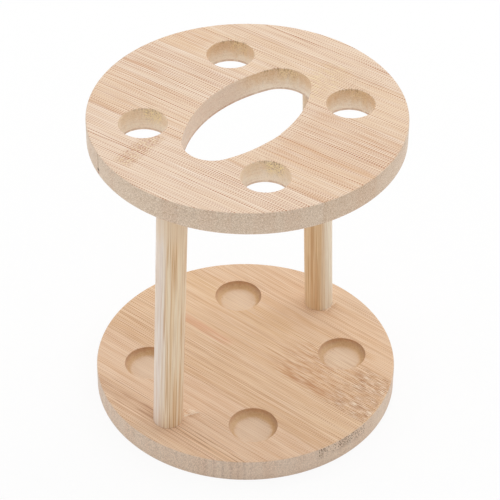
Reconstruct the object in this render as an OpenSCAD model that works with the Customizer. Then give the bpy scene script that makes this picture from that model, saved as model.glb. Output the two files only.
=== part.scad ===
// Toothbrush holder of two round boards held apart by two dowel posts.
// The upper board has four brush holes and an oval opening for a tube; the base board has a
// shallow recess under each hole. The posts stand in blind sockets, and a countersunk screw
// from beneath draws each one down. Origin: centre of the base's underside, on the table.

/* [Boards] */
// Diameter of both boards
board_d = 120; // [104:1:150]
// Thickness of both boards
board_t = 9.6; // [9:0.1:14]
// Height from the table to the upper board's top face
overall_h = 131.5; // [110:0.5:180]
// Radius of the sanded rounding on the boards' outer edges
edge_round = 0.5; // [0.2:0.1:1.5]
// Turn of the upper board against the base, in degrees; the posts lean to follow it
board_turn = 5.2; // [0:0.1:8]

/* [Brush holes] */
// Number of brush places around the boards
brush_places = 4; // [2:2:4]
// Diameter of the holes through the upper board
brush_hole_d = 18.5; // [14:0.1:21]
// How far each hole's centre lies in from the middle of the wood between the oval and the rim
brush_shift = 1.6; // [0:0.1:3]
// Bevel around the mouths of the brush holes and recesses
mouth_bevel = 0.3; // [0.1:0.1:0.8]

/* [Recesses in the base] */
// Diameter of the recess that a brush stands in
recess_d = 19.1; // [14:0.1:21]
// Depth of the recess
recess_depth = 3.3; // [2:0.1:5]
// Radius of the cove between the recess's wall and its flat floor
recess_cove = 2.9; // [0.5:0.1:3.5]

/* [Oval opening] */
// Length of the oval opening, along the line of the posts
oval_length = 66.6; // [54:0.2:72]
// Width of the oval opening
oval_width = 34.6; // [30:0.2:40]
// Radius of the oval's two ends
oval_end_r = 11.4; // [9:0.1:13]

/* [Posts] */
// Diameter of the dowel posts
post_d = 11.6; // [9:0.1:14]
// Depth of the blind sockets that hold the posts' ends
socket_depth = 5.5; // [4:0.1:6]
// Bevel on the posts' ends
post_bevel = 0.4; // [0.2:0.1:1]

/* [Screws] */
// Length of each screw, from the top of its head to its point
screw_length = 20; // [16:1:30]
// Outer diameter of the thread
thread_d = 3.5; // [3:0.1:4]
// Diameter of the screw at the bottom of its thread
thread_root_d = 2.5; // [2:0.1:2.8]
// Distance from one thread to the next
thread_pitch = 1.3; // [0.9:0.1:2]
// Diameter of the countersunk head
head_d = 7; // [6:0.1:8]
// How far the head sits above the base's underside
head_sunk = 0.4; // [0.2:0.1:0.8]
// Length of each of the two crossed slots in the head
slot_length = 4; // [3:0.1:4.6]
// Width of the crossed slots
slot_w = 0.9; // [0.6:0.1:1.2]
// Depth of the crossed slots
slot_depth = 1.3; // [0.8:0.1:1.6]

/* [Fits] */
// Gap for the glue around and beyond a post's end in its socket
glue_gap = 0.1; // [0.05:0.01:0.2]
// Gap between a screw and the wood around it
screw_gap = 0.05; // [0.02:0.01:0.1]

/* [Hidden] */
$fn = 96;

board_colour = "#e4c8a6";
post_colour = "#dccaa9";
screw_colour = "#b9bcc0";

// How far every cut runs past the face that it opens
overrun = 1;
// Steps in the quarter circle of a rounded edge or cove
round_steps = 6;
// Direction of the first brush place, halfway between the posts
first_place = 45;

board_r = board_d / 2;
upper_z = overall_h - board_t;

// The cove takes at most this share of the recess's wall below its bevel
cove_share = 0.97;
cove_r = min(recess_cove, cove_share * (recess_depth - mouth_bevel));

// The oval is four arcs: the sides' centres lie on the cross axis, the ends' on the long axis
oval_a = oval_length / 2;
oval_b = oval_width / 2;
end_x = oval_a - oval_end_r;
side_r = (end_x * end_x + oval_b * oval_b - oval_end_r * oval_end_r) / (2 * (oval_b - oval_end_r));
side_y = side_r - oval_b;

// Brush places and posts both stand in the wood between the oval and the rim
oval_reach = sqrt(side_r * side_r - pow(side_y * cos(first_place), 2)) - side_y * sin(first_place);
brush_r = (oval_reach + board_r) / 2 - brush_shift;
post_r = (oval_a + board_r) / 2;

// From a post's foot on the base to its head under the upper board
lean_x = post_r * (cos(board_turn) - 1);
lean_y = post_r * sin(board_turn);
rise = upper_z - board_t;
reach = norm([lean_x, lean_y, rise]);
lean_angle = acos(rise / reach);
lean_heading = atan2(lean_y, lean_x);

// Heights on a post's axis, from its foot on the base's top face
head_cone = (head_d - thread_d) / 2;
screw_bottom = head_sunk - board_t;
neck_z = screw_bottom + head_cone;
tip_z = screw_bottom + screw_length;
ridge_count = floor((screw_length - head_cone - thread_d) / thread_pitch);

// Points of a quarter circle of radius r about c, from angle a to angle a + 90
function quarter(c, r, a) = [for (i = [0 : round_steps]) c + r * [cos(a + 90 * i / round_steps),
                                                                  sin(a + 90 * i / round_steps)]];

// A round board standing on z = 0, with its outer edges sanded round
module board_blank() {
    inner = board_r - edge_round;
    rotate_extrude()
        polygon(concat([[0, 0]],
                       quarter([inner, edge_round], edge_round, -90),
                       quarter([inner, board_t - edge_round], edge_round, 0),
                       [[0, board_t]]));
}

// A hole of radius r right through a board, bevelled at both mouths
module through_hole(r) {
    flare = mouth_bevel + overrun;
    rotate_extrude()
        polygon([[0, -overrun], [r + flare, -overrun], [r, mouth_bevel],
                 [r, board_t - mouth_bevel], [r + flare, board_t + overrun], [0, board_t + overrun]]);
}

// Half of the oval's outline above its long axis: the slice of the side's circle that lies
// between the lines from its centre through the two end centres
module oval_side() {
    intersection() {
        translate([0, -side_y]) circle(side_r);
        polygon([[-end_x, 0], [end_x, 0], [3 * end_x, 2 * side_y], [-3 * end_x, 2 * side_y]]);
    }
}

// The whole oval opening, centred on the board
module oval_hole() {
    translate([0, 0, -overrun]) linear_extrude(board_t + 2 * overrun) {
        for (flip = [0, 1]) mirror([0, flip]) oval_side();
        for (side = [-1, 1]) translate([side * end_x, 0]) circle(oval_end_r);
    }
}

// A flat-floored recess in a board's top face, with a cove at its floor and a bevelled mouth
module recess() {
    r = recess_d / 2;
    floor_z = board_t - recess_depth;
    flare = mouth_bevel + overrun;
    rotate_extrude()
        polygon(concat([[0, floor_z]],
                       quarter([r - cove_r, floor_z + cove_r], cove_r, -90),
                       [[r, board_t - mouth_bevel], [r + flare, board_t + overrun],
                        [0, board_t + overrun]]));
}

// Puts its children at each brush place
module at_brush_places() {
    for (i = [0 : brush_places - 1])
        rotate([0, 0, first_place + i * 360 / brush_places]) translate([brush_r, 0, 0]) children();
}

// Puts its children on a post's leaning axis, with z = 0 at its foot on the base's top face.
// The right post is at +X; the left one is the same, half a turn round.
module on_post_axis(half_turn) {
    rotate([0, 0, half_turn]) translate([post_r, 0, board_t])
        rotate([0, 0, lean_heading]) rotate([0, lean_angle, 0]) rotate([0, 0, -lean_heading])
            children();
}

// The room for a post's lower or upper end in a board
module socket(z) {
    translate([0, 0, z]) cylinder(r = post_d / 2 + glue_gap, h = socket_depth + glue_gap + overrun);
}

// A countersunk wood screw, point up, larger all round by gap. Its thread is drawn as rings.
module screw_form(gap) {
    crest_r = thread_d / 2 + gap;
    root_r = thread_root_d / 2 + gap;
    ridges = [for (i = [0 : ridge_count - 1]) each [[root_r, neck_z + i * thread_pitch],
                                                    [crest_r, neck_z + (i + 0.5) * thread_pitch]]];
    rotate_extrude()
        polygon(concat([[0, screw_bottom], [head_d / 2 + gap, screw_bottom], [crest_r, neck_z]],
                       ridges,
                       [[root_r, neck_z + ridge_count * thread_pitch], [0, tip_z + gap]]));
}

// The crossed slots that a driver turns, widest at the head's face
module cross_slots() {
    for (turn = [0, 90])
        rotate([0, 0, turn]) translate([-slot_length / 2, 0, screw_bottom])
            rotate([90, 0, 90]) linear_extrude(slot_length)
                polygon([[-slot_w / 2, -overrun], [slot_w / 2, -overrun],
                         [slot_w / 2, 0], [slot_w / 4, slot_depth],
                         [-slot_w / 4, slot_depth], [-slot_w / 2, 0]]);
}

module base_board() {
    color(board_colour)
    difference() {
        board_blank();
        at_brush_places() recess();
        for (half_turn = [0, 180]) on_post_axis(half_turn) {
            socket(-socket_depth - glue_gap);
            screw_form(screw_gap);
            translate([0, 0, screw_bottom - head_sunk - overrun])
                cylinder(r = head_d / 2 + screw_gap, h = head_sunk + overrun);
        }
    }
}

module upper_board() {
    color(board_colour)
    difference() {
        translate([0, 0, upper_z]) rotate([0, 0, board_turn]) difference() {
            board_blank();
            at_brush_places() through_hole(brush_hole_d / 2);
            oval_hole();
        }
        for (half_turn = [0, 180]) on_post_axis(half_turn) socket(reach - overrun);
    }
}

// A dowel with bevelled ends, drilled up its foot for the screw
module post(half_turn) {
    r = post_d / 2;
    color(post_colour)
    on_post_axis(half_turn) difference() {
        rotate_extrude()
            polygon([[0, -socket_depth], [r - post_bevel, -socket_depth],
                     [r, post_bevel - socket_depth], [r, reach + socket_depth - post_bevel],
                     [r - post_bevel, reach + socket_depth], [0, reach + socket_depth]]);
        screw_form(screw_gap);
    }
}

module left_post() { post(180); }

module right_post() { post(0); }

module base_screws() {
    color(screw_colour)
    for (half_turn = [0, 180]) on_post_axis(half_turn) difference() {
        screw_form(0);
        cross_slots();
    }
}

base_board();
upper_board();
left_post();
right_post();
base_screws();
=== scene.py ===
"""Bamboo toothbrush holder: the wood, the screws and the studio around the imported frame.

Two round boards are held apart by two leaning dowels, and a countersunk screw from beneath draws
each dowel down. The boards and the dowels are turned here in mesh code and stand for their CAD
nodes; the screws keep theirs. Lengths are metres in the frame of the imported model, and
millimetres in the materials.
"""

from __future__ import annotations

import logging
import math
from dataclasses import dataclass, field
from enum import Enum
from typing import Any, Callable, Iterable, Sequence, TypeVar, Union

import bmesh
import bpy
from mathutils import Matrix, Vector, noise


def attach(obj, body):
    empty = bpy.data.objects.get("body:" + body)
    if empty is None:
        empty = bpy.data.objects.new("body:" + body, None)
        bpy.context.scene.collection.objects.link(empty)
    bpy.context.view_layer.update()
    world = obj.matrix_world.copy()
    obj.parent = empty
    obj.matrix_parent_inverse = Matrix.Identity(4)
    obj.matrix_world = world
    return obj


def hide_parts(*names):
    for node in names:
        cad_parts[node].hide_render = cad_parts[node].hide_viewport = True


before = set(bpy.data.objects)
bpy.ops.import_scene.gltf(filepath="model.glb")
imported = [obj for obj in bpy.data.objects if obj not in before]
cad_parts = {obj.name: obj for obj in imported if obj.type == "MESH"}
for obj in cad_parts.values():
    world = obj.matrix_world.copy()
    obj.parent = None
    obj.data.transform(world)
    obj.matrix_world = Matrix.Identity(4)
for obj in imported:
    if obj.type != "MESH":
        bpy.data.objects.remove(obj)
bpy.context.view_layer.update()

LOG = logging.getLogger("holder")

MM = 0.001
FULL_TURN = 2 * math.pi
BODY = "root"

# Two points nearer than this are one point
TINY = 5e-7
# Steps in the quarter circle of a rounded corner
ROUND_STEPS = 4
# Width of the flat ring that keeps a face flat beside a rounded corner
HOLD = 0.35 * MM
# Tallest row of faces on a turned wall
ROW = 1.2 * MM
# Corners sharper than this stay crisp under smooth shading
CRISP_ANGLE = math.radians(38)
# Heading of the photograph's camera, from which the sides of the wood are set out
VIEW = math.radians(-49.8)

WHITE = (1.0, 1.0, 1.0, 1.0)
# Inputs of the shader that are the same over all sanded wood
WOOD_GLOSS = {"Specular IOR Level": 0.3, "IOR": 1.45, "Sheen Weight": 0.2, "Sheen Roughness": 0.35}

Number = Union[float, "Sock"]
Colour = tuple[float, float, float, float]
Pair = tuple[float, float]
Record = TypeVar("Record")


def tone(code: str) -> Colour:
    """Turns a written colour into the linear one that shaders take, by the usual screen curve.

    Args:
        code: six hexadecimal digits, red first, as a screen shows them

    Returns:
        the linear colour with an alpha of 1
    """
    parts = [int(code[i : i + 2], 16) / 255 for i in (0, 2, 4)]
    linear = [p / 12.92 if p <= 0.04045 else ((p + 0.055) / 1.055) ** 2.4 for p in parts]
    return (linear[0], linear[1], linear[2], 1.0)


def grey(value: float) -> Colour:
    """Gives a colour that carries a number."""
    return (value, value, value, 1.0)


def table(kind: Callable[..., Record], *rows: tuple) -> tuple[Record, ...]:
    """Makes a record from each row of values."""
    return tuple(kind(*row) for row in rows)


def operator(operation: str, swapped: bool = False) -> Callable[[Sock, Number], Sock]:
    """Makes an arithmetic operator for sockets.

    Args:
        operation: what the Math node does
        swapped: whether the other number comes first

    Returns:
        the operator
    """

    def apply(self: Sock, other: Number) -> Sock:
        """Adds a Math node over both numbers."""
        return self.graph.maths(operation, *((other, self) if swapped else (self, other)))

    return apply


class Slot(Enum):
    """Names of material slots for the boards and the dowels; the pieces here take their materials without
    them.
    """

    BOARD = "board"
    DOWEL = "dowel"


class Side(Enum):
    """Which post: the right one stands at +X, the left one half a turn round."""

    RIGHT = 0.0
    LEFT = math.pi


class Sock:
    """A shader socket that Python expressions can use as a number."""

    def __init__(self, graph: Graph, socket: bpy.types.NodeSocket) -> None:
        """Keeps the socket and the graph that it belongs to."""
        self.graph = graph
        self.socket = socket

    __add__ = operator("ADD")
    __radd__ = operator("ADD", swapped=True)
    __sub__ = operator("SUBTRACT")
    __rsub__ = operator("SUBTRACT", swapped=True)
    __mul__ = operator("MULTIPLY")
    __rmul__ = operator("MULTIPLY", swapped=True)
    __truediv__ = operator("DIVIDE")
    __rtruediv__ = operator("DIVIDE", swapped=True)

    def __abs__(self) -> Sock:
        """Gives the size of self without its sign."""
        return self.graph.maths("ABSOLUTE", self)

    def above(self, low: float, high: float) -> Sock:
        """Rises smoothly from 0 at low to 1 at high, or falls where low is the larger.

        Args:
            low: value at which the result is 0
            high: value at which the result is 1

        Returns:
            the eased value
        """
        settings = {"interpolation_type": "SMOOTHSTEP", "clamp": True}
        sockets = {"Value": self, "From Min": low, "From Max": high, "To Min": 0.0, "To Max": 1.0}
        return self.graph.out(self.graph.node("ShaderNodeMapRange", settings, sockets))

    def below(self, low: float, high: float) -> Sock:
        """Falls smoothly from 1 at low to 0 at high."""
        return self.above(high, low)

    def near(self, centre: float, half: float, soft: float) -> Sock:
        """Is 1 within half of the centre and fades to 0 over soft."""
        return abs(self - centre).below(half, half + soft)


@dataclass(frozen=True)
class Grain:
    """Noise stretched along the grain, in millimetres, and the mark that is made of it.

    The mark fades in from low to high. A low above its high marks where the noise is low.
    """

    size: tuple[float, float, float]
    shift: float = 0.0
    low: float = 0.0
    high: float = 1.0
    share: float = 1.0
    layers: float = 1.0


class Graph:
    """A material or world, the nodes that are added to it and the colour that its coats give."""

    # Roughness of every noise
    ROUGHNESS = 0.55
    # How far a shift moves a noise along each axis
    SHIFT = (1.0, 0.7, 1.3)

    def __init__(self, owner: bpy.types.Material | bpy.types.World) -> None:
        """Empties the node tree of its owner.

        Args:
            owner: the material or world
        """
        owner.use_nodes = True
        self.owner = owner
        self.tree = owner.node_tree
        self.tree.nodes.clear()
        self.colour: Any = WHITE

    def node(
        self,
        kind: str,
        settings: dict[str, Any] | None = None,
        sockets: dict[str | int, Any] | None = None,
    ) -> bpy.types.Node:
        """Adds a node, sets it up and joins its inputs.

        Args:
            kind: the node's type
            settings: the node's own properties; "stops" holds a ramp's places and colours, "blend"
                says how it goes from one to the next
            sockets: values or links of its inputs, by name or number

        Returns:
            the new node
        """
        made = self.tree.nodes.new(kind)
        for key, value in (settings or {}).items():
            if key == "stops":
                self._set_stops(made, value)
            elif key == "blend":
                made.color_ramp.interpolation = value
            else:
                setattr(made, key, value)
        for place, value in (sockets or {}).items():
            if isinstance(value, Sock):
                self.tree.links.new(value.socket, made.inputs[place])
            else:
                made.inputs[place].default_value = value
        return made

    @staticmethod
    def _set_stops(ramp: bpy.types.Node, stops: Sequence[tuple[float, Colour]]) -> None:
        """Gives a colour ramp its stops.

        Args:
            ramp: the ramp's node
            stops: places and colours, in rising order
        """
        elements = ramp.color_ramp.elements
        while len(elements) < len(stops):
            elements.new(1.0)
        for element, (place, colour) in zip(elements, stops):
            element.position = place
            element.color = colour

    def out(self, made: bpy.types.Node, place: str | int = 0) -> Sock:
        """Wraps one output of a node."""
        return Sock(self, made.outputs[place])

    def maths(self, operation: str, *values: Number) -> Sock:
        """Adds a Math node over one or two values and gives its result."""
        sockets = dict(enumerate(values))
        return self.out(self.node("ShaderNodeMath", {"operation": operation}, sockets))

    def vectors(self, operation: str, *values: Any, place: str | int = 0) -> Sock:
        """Adds a Vector Math node over one or two vectors and gives one of its results."""
        sockets = dict(enumerate(values))
        return self.out(self.node("ShaderNodeVectorMath", {"operation": operation}, sockets), place)

    def mix(self, amount: Number, first: Any, second: Any) -> Sock:
        """Mixes two colours.

        Args:
            amount: 0 for the first colour, 1 for the second
            first: colour or link
            second: colour or link

        Returns:
            the mixed colour
        """
        settings = {"data_type": "RGBA", "clamp_factor": True}
        return self.out(self.node("ShaderNodeMix", settings, {0: amount, 6: first, 7: second}), 2)

    def coat(self, amount: Number, ink: str) -> None:
        """Lays a colour over the coats so far."""
        self.colour = self.mix(amount, self.colour, tone(ink))

    def length(self, vector: Sock) -> Sock:
        """Gives the length of a vector."""
        return self.vectors("LENGTH", vector, place="Value")

    def dot(self, vector: Sock, heading: float) -> Sock:
        """Gives how far a vector reaches along a level heading."""
        arm = (math.cos(heading), math.sin(heading), 0.0)
        return self.vectors("DOT_PRODUCT", vector, arm, place="Value")

    def vector(self, x: Number, y: Number, z: Number) -> Sock:
        """Joins three numbers into a vector."""
        return self.out(self.node("ShaderNodeCombineXYZ", None, {0: x, 1: y, 2: z}))

    def split(self, vector: Sock) -> tuple[Sock, Sock, Sock]:
        """Takes a vector apart."""
        made = self.node("ShaderNodeSeparateXYZ", None, {0: vector})
        return self.out(made, 0), self.out(made, 1), self.out(made, 2)

    def block(self, place: Matrix = Matrix.Identity(4)) -> Sock:
        """Gives where a shaded point lies in its piece's own block.

        Args:
            place: turn and place of the block in the frame

        Returns:
            the point, in millimetres
        """
        point = self.out(self.node("ShaderNodeTexCoord"), "Object")
        sockets = {0: point, "Location": place.to_translation(), "Rotation": place.to_euler()}
        local = self.out(self.node("ShaderNodeMapping", {"vector_type": "TEXTURE"}, sockets))
        return self.vectors("MULTIPLY", local, (1 / MM, 1 / MM, 1 / MM))

    def noise(self, place: Sock, grain: Grain) -> Sock:
        """Adds the noise of a grain.

        Args:
            place: the place that it is read at
            grain: size of its patches, its shift and its number of finer layers

        Returns:
            noise from 0 to 1, mostly near a half
        """
        scaled = self.vectors("MULTIPLY", place, tuple(1 / s for s in grain.size))
        moved = self.vectors("ADD", scaled, tuple(grain.shift * s for s in self.SHIFT))
        sockets = {"Vector": moved, "Scale": 1.0, "Detail": grain.layers, "Roughness": self.ROUGHNESS}
        return self.out(self.node("ShaderNodeTexNoise", None, sockets))

    def mark(self, place: Sock, grain: Grain, spared: Number = 0.0) -> Sock:
        """Adds the mark of a grain.

        Args:
            place: the place that it is read at
            grain: the grain
            spared: what is taken off its share

        Returns:
            0 where the mark stays away, and the grain's share where it is full
        """
        return self.noise(place, grain).above(grain.low, grain.high) * (grain.share - spared)

    def seen(self) -> Sock:
        """Finds the rays that the camera sees.

        Returns:
            1 for rays that it sees straight, mirrored or through something clear
        """
        path = self.node("ShaderNodeLightPath")
        straight, mirrored, through = (
            self.out(path, name) for name in ("Is Camera Ray", "Is Glossy Ray", "Is Transmission Ray")
        )
        return self.maths("MAXIMUM", straight, self.maths("MAXIMUM", mirrored, through))

    def surface(
        self, roughness: Number, height: Sock, depth: float, constants: dict[str, Any]
    ) -> bpy.types.Material:
        """Ends the material in a Principled shader with the coats' colour and a bump.

        Args:
            roughness: roughness over the surface
            height: relief, 1 for the full depth
            depth: depth of the relief in metres
            constants: other inputs of the shader that are the same all over

        Returns:
            the finished material
        """
        bump = self.node("ShaderNodeBump", None, {"Strength": 1.0, "Distance": depth, "Height": height})
        sockets = {"Base Color": self.colour, "Roughness": roughness, "Normal": self.out(bump)}
        shader = self.node("ShaderNodeBsdfPrincipled", None, sockets | constants)
        self.node("ShaderNodeOutputMaterial", None, {"Surface": self.out(shader)})
        return self.owner


@dataclass(frozen=True)
class Strip:
    """One glued strip of a pressed board, from where it starts across the board, in millimetres."""

    start: float
    colour: str
    thread: float
    pores: float = 0.15


@dataclass(frozen=True)
class Streak:
    """A line or band of another colour that runs with the grain, in millimetres."""

    across: float
    half: float
    soft: float
    strength: float
    colour: str
    low: float = -60.0
    high: float = 60.0


@dataclass(frozen=True)
class Knuckle:
    """A joint of the bamboo stem that crosses a strip, in millimetres."""

    across: float
    half_across: float
    along: float
    half_along: float
    curl: float
    flame: float
    threads: float
    hatch: float
    fleck: float
    dash: float
    colour: str

    @property
    def hatching(self) -> Grain:
        """Grain of its short dark dashes."""
        return Grain((0.42, self.dash, 0.42), 21, 0.5, 0.6, self.hatch)

    @property
    def flecking(self) -> Grain:
        """Grain of its short pale dashes."""
        return Grain((0.4, self.dash, 0.4), 33, 0.53, 0.62, self.fleck)


@dataclass(frozen=True)
class Crack:
    """A fine split along the grain, or a spot in it, that shows on the rim, in millimetres."""

    across: float
    half: float
    low: float
    high: float
    strength: float
    colour: str


@dataclass(frozen=True)
class Spot:
    """Where a shaded point of a board lies, in millimetres, and what sort of face it is on.

    Wall is 1 on upright faces, and brink is 1 as far out as the board's rim.
    """

    block: Sock
    across: Sock
    fibre: Sock
    normal: Sock
    wall: Sock
    brink: Sock


@dataclass(frozen=True)
class BambooFinish:
    """Plain sanded bamboo board, coloured as a solid block with its grain along Y.

    Lengths are millimetres. A pair holds the two values between which something fades.
    """

    # Noises that bend the threads and break them up
    SWAY = Grain((20, 60, 20), 3, share=0.8, layers=0)
    RIPPLE = Grain((3, 9, 3), 8)
    WANDER = Grain((2.6, 60, 2.6), 35, share=2.2)
    WOBBLE = Grain((4, 5, 4), 40, share=5, layers=0)
    # Marks along the fibres
    BROAD = Grain((3.4, 60, 3.4), 12, 0.44, 0.68)
    FINE = Grain((0.8, 40, 0.8), 17, 0.46, 0.66)
    PALE_LINES = Grain((0.4, 24, 0.4), 61, 0.5, 0.62)
    DARK_LINES = Grain((0.36, 34, 0.36), 0, 0.49, 0.58)
    CROWD = Grain((3, 50, 3), 44, 0.3, 0.6, 0.35)
    UNEVEN = Grain((0.7, 12, 0.7), 6, 0.34, 0.58, 0.65)
    FLAMES = Grain((3, 18, 3), 27, 0.42, 0.66)
    # Marks on cut walls; dots come as a dark and a light grain
    CLOUD = Grain((2.2, 2.2, 3), 71, layers=2)
    RINGS = Grain((9, 9, 0.7), 64, 0.5, 0.64, 0.12)
    BORE_DOTS = table(
        Grain, ((0.4, 0.4, 0.5), 50, 0.54, 0.64, 0.14), ((0.4, 0.4, 0.5), 50, 0.46, 0.36, 0.25)
    )
    RIM_CLOUD = Grain((7, 7, 40), 80, 0.42, 0.62, 0.13)
    RIM_DOTS = table(
        Grain, ((0.26, 0.45, 0.26), 50, 0.5, 0.6, 0.27), ((0.26, 0.45, 0.26), 50, 0.5, 0.4, 0.45)
    )
    GRIT = Grain((0.16, 0.6, 0.16), 5)

    # The board's thickness, the half spans of strips and streaks, and the radii where its rim starts
    THICKNESS, REACH, FULL_HALF, BRINK = 9.6, 62.0, 60.0, (58.2, 58.4)
    # How far along the noises the top face lies
    TOP_START = 0.33
    # Upward part of the normal between upright and level faces
    UPRIGHT = (0.4, 0.96)
    # Threads: distance between them, half width, soft edge and length of a dash
    PITCH, THIN, THREAD_SOFT, DASH = 0.85, 0.08, 0.24, 1.05
    # Fade past the end of a streak
    STREAK_END = 6.0
    # Fade beside a crack and past its ends, and where along the board cracks start
    CRACK_SOFT, CRACK_END, CRACK_FRONT = 0.15, 0.3, (10.0, 12.0)
    # Shares of a knuckle's half size that are full and that fade
    KNUCKLE_SIDES, KNUCKLE_ENDS = (0.85, 0.2), (0.4, 0.7)
    # Bands round a recess's floor and below a bore's mouth
    FLOOR_TOP, FLOOR_LOW, MOUTH = 0.03, (0.2, 0.1), (0.2, 0.07)
    # Bores: how much of the tint they take, how it changes with depth, and the painted light and painted
    # shade that walls get by the way they face
    BORE_SHARE, FALL, LIT, DIM = 0.85, (0.1, 0.9), (-0.6, 0.75), (0.2, 0.95)
    DIM_SIDE, DIM_INK = VIEW + math.pi, "9d7c5e"
    # The oval's wall: its edge in half lengths, and how far along the board it reaches
    SLOT_EDGE, SLOT_REACH, SLOT_WALL = (1.1, 1.16), (10.0, 28.0), "dac4b0"
    # Golden tint: where it starts along the board, how it fades with depth, and how uneven it is
    GOLD_REACH, GOLD_FALL, GOLD_CLOUD, GOLD = (12.0, 24.0), (0.15, 0.85), 0.5, "cb9a5c"
    # Painted shade at the foot of walls that face the camera: its fades by height, side and cloud
    BURN_START, BURN_END, BURN_SIDE, BURN_FACING = 0.04, 0.2, VIEW - math.pi / 2, (-0.05, 0.2)
    BURN_CLOUD, BURN_SHARE, BURN = (0.2, 0.6), 0.42, "a5683c"
    # Rim: how grey it is, and its lower edge by depth
    RIM_SHARE, LOWER, LOWER_SHARE = 0.55, (0.95, 0.985), 0.6
    # Fibre ends on the rim: the size of their cells, and where they fade by distance and by depth
    PORE_CELL, PORE_RANDOM, PORE_HALF, PORE_DEPTH = (0.8, 3.0, 0.8), 0.5, (0.22, 0.47), (0.32, 0.65)
    # Torn fibre, and lifted fibre with its bare and its husky parts
    TORN_GAPS, TORN_BROKEN, TORN_SHARE = (0.4, 0.52), 0.55, 0.8
    LIFTED_SOFT, LIFTED_SHARE, BARE, BARE_SHARE, HUSK = 0.07, 0.95, (1.0, 2.0), 0.8, (0.36, 0.44)
    # Relief, with its depth in metres, and roughness
    GRIT_RISE, THREAD_SINK, PORE_SINK, RELIEF = 0.35, 0.3, 0.7, 0.08 * MM
    ROUGHNESS, THREAD_POLISH, GRIT_MATT = 0.66, 0.06, 0.16

    name: str
    turn: float
    top: float
    strips: tuple[Strip, ...]
    streaks: tuple[Streak, ...]
    knuckles: tuple[Knuckle, ...]
    thread: str
    warm: str
    light: str
    rim: str
    bore_mouth: str
    bore_depth: str
    torn: str
    tone_share: float
    light_share: float
    bundle_share: float
    line_share: float
    dash_share: float
    floor: float
    floor_fade: float
    sunk: str = "e8ccac"
    sunk_share: float = 0.0
    pale: str = "f6e4ae"
    pore: str = "7d6048"
    edge: str = "c48c60"
    slot_half: Pair = (1.0, 1.0)
    # Painted light and painted shade on bore walls: the heading that the lit walls face, and the shares
    # of both
    lit_heading: float = 0.0
    lit_share: float = 0.0
    dim_share: float = 0.0
    gold_share: float = 0.0
    # Heights between which walls get painted shade at their foot
    burn_low: float = 0.0
    burn_high: float = 0.0
    cracks: tuple[Crack, ...] = ()
    dashes: tuple[float, float, float] = (0.36, 0.36, 0.5)
    lifted: float = 0.5
    husk_share: float = 0.0
    dot_share: float = 1.0
    unlike: float = 0.4

    def material(self) -> bpy.types.Material:
        """Builds the board's material.

        Returns:
            the material
        """
        graph = Graph(bpy.data.materials.new(self.name))
        block = graph.block(Matrix.Rotation(self.turn, 4, "Z"))
        x, y, z = graph.split(block)
        joints = [(knuckle, self._joint(x, y, knuckle)) for knuckle in self.knuckles]
        sway = (graph.noise(block, self.SWAY) - 0.5) * self.SWAY.share
        ripple = graph.noise(block, self.RIPPLE) - 0.5
        for knuckle, mask in joints:
            sway = sway + mask * ripple * knuckle.curl
        across = x + sway
        fibre = graph.vector(across, y, z - (self.top - self.TOP_START))
        normal = graph.out(graph.node("ShaderNodeTexCoord"), "Normal")
        _, _, facing = graph.split(normal)
        brink = graph.length(graph.vector(x, y, 0.0)).above(*self.BRINK)
        spot = Spot(block, across, fibre, normal, abs(facing).below(*self.UPRIGHT), brink)
        self._strips(graph, spot)
        uneven = graph.mark(fibre, self.UNEVEN) + (1 - self.UNEVEN.share)
        for streak in self.streaks:
            graph.coat(self._streak(across, y, streak) * uneven * streak.strength, streak.colour)
        flames = graph.mark(fibre, self.FLAMES)
        for knuckle, mask in joints:
            graph.coat(mask * flames * knuckle.flame, knuckle.colour)
        threads = self._threads(graph, spot) * (1 - spot.wall)
        graph.coat(threads, self.thread)
        for knuckle, mask in joints:
            marks = threads * knuckle.threads + graph.mark(fibre, knuckle.hatching)
            graph.coat(mask * marks, knuckle.colour)
            graph.coat(mask * graph.mark(fibre, knuckle.flecking), self.pale)
        self._bores(graph, spot)
        pores = self._rim(graph, spot)
        self._damage(graph, spot)
        grit = graph.noise(block, self.GRIT)
        height = grit * self.GRIT_RISE - threads * self.THREAD_SINK - pores * self.PORE_SINK
        roughness = self.ROUGHNESS - threads * self.THREAD_POLISH + (grit - 0.5) * self.GRIT_MATT
        return graph.surface(roughness, height, self.RELIEF, WOOD_GLOSS)

    def _joint(self, x: Sock, y: Sock, knuckle: Knuckle) -> Sock:
        """Masks one knuckle.

        Args:
            x: place across the board
            y: place along it
            knuckle: the knuckle

        Returns:
            the mask
        """
        across = x.near(knuckle.across, *(knuckle.half_across * s for s in self.KNUCKLE_SIDES))
        return across * y.near(knuckle.along, *(knuckle.half_along * s for s in self.KNUCKLE_ENDS))

    def _by_strip(self, graph: Graph, across: Sock, values: Sequence[Colour]) -> Sock:
        """Picks each strip's own value.

        Args:
            graph: the material
            across: place across the grain
            values: one colour a strip

        Returns:
            the colour of the strip at that place
        """
        span = 2 * self.REACH
        stops = [((s.start + self.REACH) / span, v) for s, v in zip(self.strips, values)]
        settings = {"blend": "CONSTANT", "stops": stops}
        return graph.out(graph.node("ShaderNodeValToRGB", settings, {0: (across + self.REACH) / span}))

    def _strips(self, graph: Graph, spot: Spot) -> None:
        """Colours the strips, each with slow changes of tone along the grain.

        Args:
            graph: the material
            spot: the shaded point
        """
        graph.colour = self._by_strip(graph, spot.across, [tone(s.colour) for s in self.strips])
        for grain in (self.BROAD, self.FINE):
            graph.coat(graph.mark(spot.fibre, grain) * self.tone_share, self.warm)
        graph.coat(graph.mark(spot.fibre, self.PALE_LINES) * self.light_share, self.light)

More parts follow.
